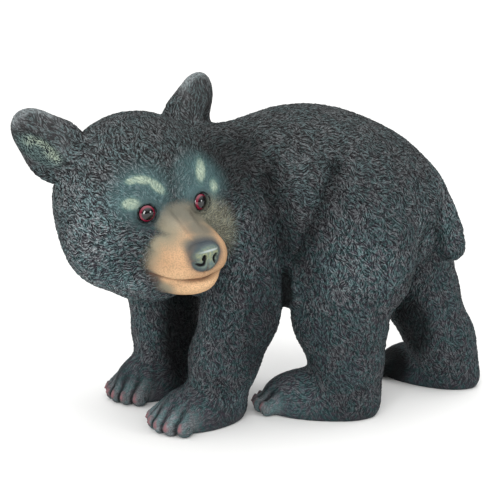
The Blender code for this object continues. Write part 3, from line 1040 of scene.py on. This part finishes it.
def paintedResin(combed, spots):
    material, shader = newMaterial("paintedResin")
    paint = Paint(material.node_tree)

    def oval(name):
        return ovalMask(paint, spots, name)

    def glaze(under, name, share, over):
        return paint.mix(paint.times(oval(name), share), under, paints[over])

    place = paint.node("ShaderNodeTexCoord").outputs["Object"]
    ridge = paint.attribute("ridge")
    furry = paint.attribute("furry")
    brushAndLight = paint.attribute("brushAndLight")
    lie = paint.attribute("lie", "Vector")
    hair = paint.group(combed, Lie=lie, Length=3.4 * mm, Fineness=0.74 / mm)["Hair"]
    fine = paint.group(combed, Lie=lie, Length=1.6 * mm, Fineness=1.6 / mm)["Hair"]
    cloud = paint.cloud(place, 0.05 / mm, 4.0)
    mottle = paint.cloud(place, 0.26 / mm, 2.0)
    speck = paint.cloud(place, 0.8 / mm, 1.0)

    height = paint.number("MULTIPLY_ADD", hair, 0.50, paint.times(ridge, 0.34))
    height = paint.number("MULTIPLY_ADD", fine, 0.28, height)
    split = paint.node("ShaderNodeSeparateXYZ", place)
    contrast = paint.range(furry, 0.0, 1.0, 0.2, 1.0, "LINEAR")
    contrast = paint.times(contrast, paint.range(split.outputs["Z"], 50 * mm, 220 * mm, 0.58, 0.88))
    height = paint.number("MULTIPLY_ADD", paint.number("SUBTRACT", height, 0.50), contrast, 0.50)
    upper = paint.range(split.outputs["Z"], 150 * mm, 290 * mm, 0.0, 0.85)
    tealShare = paint.range(paint.number("MULTIPLY_ADD", mottle, 0.7, cloud), 0.72, 0.98)
    violetShare = paint.range(paint.number("MULTIPLY_ADD", mottle, -0.9, cloud), 0.0, 0.22)
    colour = paint.mix(tealShare, paints["base"], paints["teal"])
    colour = paint.mix(paint.times(violetShare, 0.6), colour, paints["violet"])
    colour = paint.mix(upper, colour, paints["back"])
    # the low places between the strokes go near black: the dark base coat, deepened as painted shade
    colour = paint.mix(paint.range(height, 0.16, 0.52, 0.94, 0.0, "LINEAR"), colour, paints["gap"])
    light = paint.mix(paint.times(tealShare, 0.8), paints["dryBrushAndHighlight"], paints["tealBrush"])
    brush = paint.range(height, 0.44, 0.86, 0.0, 1.0, "LINEAR")
    brush = paint.times(brush, paint.range(fine, 0.15, 0.75, 0.35, 1.0))
    # dry brush on the stroke tops, stronger where more light is painted
    brushShare = paint.times(brush, paint.range(brushAndLight, 0.0, 1.2, 0.3, 1.0, "LINEAR"))
    toeShare = paint.times(paint.attribute("toeTop"), paint.range(fine, 0.0, 1.0, 0.3, 0.7))
    colour = paint.mix(paint.number("MAXIMUM", brushShare, toeShare), colour, light)
    # painted light and shade: the whole colour is made lighter or darker region by region
    colour = paint.scaled(colour, paint.range(brushAndLight, 0.0, 2.2, 0.22, 1.14, "LINEAR"))
    # painted shade: darker between the toes, in the creases, and under and between the legs
    colour = paint.scaled(colour, paint.range(paint.attribute("groove"), 0.0, 1.0, 1.0, 0.08, "LINEAR"))
    # painted shade in the right ear's hollow: dark teal, with lighter hair strokes
    hollow = paint.mix(paint.range(fine, 0.25, 0.9), paints["hollowDark"], paints["hollow"])
    colour = paint.mix(paint.times(paint.attribute("hollow"), 0.8), colour, hollow)
    # painted highlight along the upper rims of the ears
    rim = paint.times(paint.attribute("rim"), paint.range(fine, 0.1, 0.7, 0.1, 0.35))
    colour = paint.mix(rim, colour, paints["dryBrushAndHighlight"])
    earHair = paint.times(paint.attribute("earRidge"), paint.range(fine, 0.3, 0.8, 0.0, 0.85))
    colour = paint.mix(earHair, colour, paints["cream"])

    colour = glaze(colour, "halo", 0.42, "halo")
    colour = glaze(colour, "cheekShade", 0.2, "gap")
    brow = oval("brows")
    browHair = paint.times(brow, paint.range(speck, 0.3, 0.7, 0.4, 0.9))
    colour = paint.mix(browHair, colour, paints["brow"])
    cream = paint.times(paint.range(brow, 0.3, 1.0), paint.range(height, 0.25, 0.75, 0.4, 0.85))
    colour = paint.mix(cream, colour, paints["cream"])
    farCheek = paint.times(oval("farCheek"), paint.range(fine, 0.0, 1.0, 0.35, 1.0))
    colour = paint.mix(farCheek, colour, paints["olive"])

    muzzle = oval("muzzle")
    start = paint.number("MULTIPLY_ADD", speck, 0.36, paint.times(mottle, 0.16))
    shown = paint.range(muzzle, start, paint.number("ADD", start, 0.62))
    mouthEnd = paint.range(oval("mouthEnd"), 0.0, 1.0, 1.0, 0.2)
    shown = paint.times(shown, mouthEnd)
    skin = paint.mix(oval("chin"), paints["tan"], paints["chin"])
    skin = paint.mix(paint.range(muzzle, 0.9, 0.2, 0.0, 0.7), skin, paints["tanShade"])
    skin = paint.mix(paint.range(speck, 0.58, 0.38, 0.0, 0.45), skin, paints["tanShade"])
    for name, share in (("taupe", 0.75), ("olive", 0.85), ("bridge", 0.9)):
        skin = glaze(skin, name, share, name)
    colour = paint.mix(shown, colour, skin)
    colour = glaze(colour, "eyeShade", 0.6, "gap")
    nose = oval("nose")
    colour = glaze(colour, "noseEdge", 0.75, "noseEdge")
    patch = paint.range(paint.cloud(place, 0.42 / mm, 2.0), 0.38, 0.66, 0.25, 1.0)
    front = paint.times(oval("noseFront"), paint.times(patch, 0.9))
    tone = paint.mix(paint.times(patch, 0.3), paints["nose"], paints["noseLight"])
    tone = paint.mix(front, tone, paints["noseLight"])
    tone = glaze(tone, "nosePlane", 0.7, "nosePlane")
    inner = paint.range(oval("noseInner"), 0.0, 1.0, 0.8, 0.0)
    tone = paint.mix(inner, tone, paints["noseEdge"])
    # painted highlight on the nose pad's upper edge
    tone = glaze(tone, "noseTopHighlight", 0.65, "dryBrushAndHighlight")
    colour = paint.mix(nose, colour, tone)
    # painted shade: dark brown in the mouth's crease and the nose's split, black in the nostrils and round
    # the eye sockets
    colour = paint.mix(paint.times(paint.attribute("line"), 0.85), colour, paints["mouth"])
    colour = paint.mix(paint.range(paint.attribute("pits"), 0.0, 0.7), colour, paints["pit"])
    colour = paint.mix(paint.attribute("claw"), colour, paints["claw"])

    paint.set(shader.inputs["Base Color"], colour)
    satin = paint.range(height, 0.2, 0.9, 0.66, 0.46, "LINEAR")
    satin = paint.number("MULTIPLY_ADD", nose, -0.16, satin)
    paint.set(shader.inputs["Roughness"], satin)
    shader.inputs["Specular IOR Level"].default_value = 0.08
    relief = paint.number("MULTIPLY_ADD", fine, 0.4, hair)
    relief = paint.times(relief, paint.number("MULTIPLY_ADD", furry, 0.9, 0.1))
    bump = paint.node("ShaderNodeBump")
    bump.inputs["Strength"].default_value = 1.0
    bump.inputs["Distance"].default_value = 0.75 * mm
    paint.set(bump.inputs["Height"], relief)
    paint.set(shader.inputs["Normal"], bump.outputs[0])
    return material


glassEye = {
    "pupil": 0.66,  # shares of the eye's radius
    "ring": 0.86,
    "rim": 0.97,
    "roughness": 0.04,
    "ior": 1.56,
}


def eyeGlass(name, side):  # black glass with a crimson ring between the pupil and the rim
    material, shader = newMaterial(name)
    paint = Paint(material.node_tree)
    place = worldPlace(eyePlace(side))
    point = paint.node("ShaderNodeTexCoord").outputs["Object"]
    local = paint.vector("SUBTRACT", point, place.to_translation())
    outward = place.to_3x3() @ Vector((0, -1, 0))
    along = paint.vector("DOT_PRODUCT", local, outward)
    radius = paint.vector("LENGTH", paint.vector("SUBTRACT", local, paint.scaled(outward, along)))
    share = paint.number("DIVIDE", radius, face["eye"]["diameter"] / 2 * mm)
    inner = paint.range(share, glassEye["pupil"], glassEye["pupil"] + 0.12)
    outer = paint.range(share, glassEye["ring"], glassEye["rim"], 1.0, 0.0)
    colour = paint.mix(paint.times(inner, outer), rgb(3, 3, 4), rgb(96, 12, 36))
    paint.set(shader.inputs["Base Color"], colour)
    shader.inputs["Roughness"].default_value = glassEye["roughness"]
    shader.inputs["IOR"].default_value = glassEye["ior"]
    return material


studio = {
    "floor": rgb(220, 220, 219),
    "sky": (0.16, 2.3),  # brightness of the room at eye level and overhead
    "leftBox": {"azimuth": -24, "elevation": 14, "distance": 2.2, "size": (0.7, 1.1), "power": 33},
    "rightBox": {"azimuth": 52, "elevation": 14, "distance": 2.2, "size": (0.5, 0.9), "power": 17},
    "catchLight": {"azimuth": -32, "elevation": 42, "distance": 2.2, "size": (0.3, 0.4), "power": 6},
}

shot = {
    "azimuth": -12,
    "elevation": 15,
    "distance": 1.5,
    "width": 0.475,  # how much the picture takes in at that distance
    "target": (-0.0135, 0.0135, 0.154),
    "pixel": (246, 254),  # where the target stands in the 502 x 502 picture
    "picture": 502,
}


def makeFloor():
    mesh = bpy.data.meshes.new("floor")
    half = 6.0
    corners = [(-half, -half, 0), (half, -half, 0), (half, half, 0), (-half, half, 0)]
    mesh.from_pydata(corners, [], [(0, 1, 2, 3)])
    floor = added("floor", mesh)
    material, shader = newMaterial("paleFloor")
    shader.inputs["Base Color"].default_value = studio["floor"]
    shader.inputs["Roughness"].default_value = 0.9
    giveMaterial(floor, material)


def wayFrom(azimuth, elevation):
    azimuth, elevation = math.radians(azimuth), math.radians(elevation)
    return Vector((
        math.sin(azimuth) * math.cos(elevation),
        -math.cos(azimuth) * math.cos(elevation),
        math.sin(elevation),
    ))


def makeLight(name, azimuth, elevation, distance, size, power):
    light = bpy.data.lights.new(name, "AREA")
    light.shape = "RECTANGLE"
    light.size, light.size_y = size
    light.energy = power
    lamp = added(name, light)
    way = wayFrom(azimuth, elevation)
    lamp.location = Vector((0, 0, 0.15)) + way * distance
    lamp.rotation_euler = (-way).to_track_quat("-Z", "Y").to_euler()


def makeWorld():  # a pale room that gets brighter overhead
    world = bpy.data.worlds.new("studio")
    world.use_nodes = True
    paint = Paint(world.node_tree)
    way = paint.node("ShaderNodeTexCoord").outputs["Generated"]
    height = paint.node("ShaderNodeSeparateXYZ", way).outputs["Z"]
    low, high = studio["sky"]
    background = world.node_tree.nodes["Background"]
    background.inputs["Color"].default_value = (1, 1, 1, 1)
    paint.set(background.inputs["Strength"], paint.range(height, 0.2, 0.95, low, high))
    bpy.context.scene.world = world


def makeCamera():
    lens = bpy.data.cameras.new("camera")
    camera = added("camera", lens)
    back = wayFrom(shot["azimuth"], shot["elevation"])
    camera.location = Vector(shot["target"]) + back * shot["distance"]
    camera.rotation_euler = (-back).to_track_quat("-Z", "Y").to_euler()
    lens.sensor_width = 36
    lens.lens = lens.sensor_width * shot["distance"] / shot["width"]
    middle = shot["picture"] / 2
    lens.shift_x = (middle - shot["pixel"][0]) / shot["picture"]
    lens.shift_y = (shot["pixel"][1] - middle) / shot["picture"]
    bpy.context.scene.camera = camera
    bpy.context.scene.view_settings.view_transform = "Standard"


coatPiece = makeCoat("bear_coat")
combed, spots = combedGroup(), spotGroup()
giveMaterial(coatPiece, paintedResin(combed, spots))
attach(coatPiece, "root")
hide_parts("bear_body")
print("coat painted")

for name, side in (("eye_right", right), ("eye_left", left)):
    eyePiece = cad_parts[name]
    giveMaterial(eyePiece, eyeGlass("glass_" + name, side))
print("eyes set")

makeFloor()
for name in ("leftBox", "rightBox", "catchLight"):
    makeLight(name, **studio[name])
makeWorld()
makeCamera()
print("studio and camera ready")
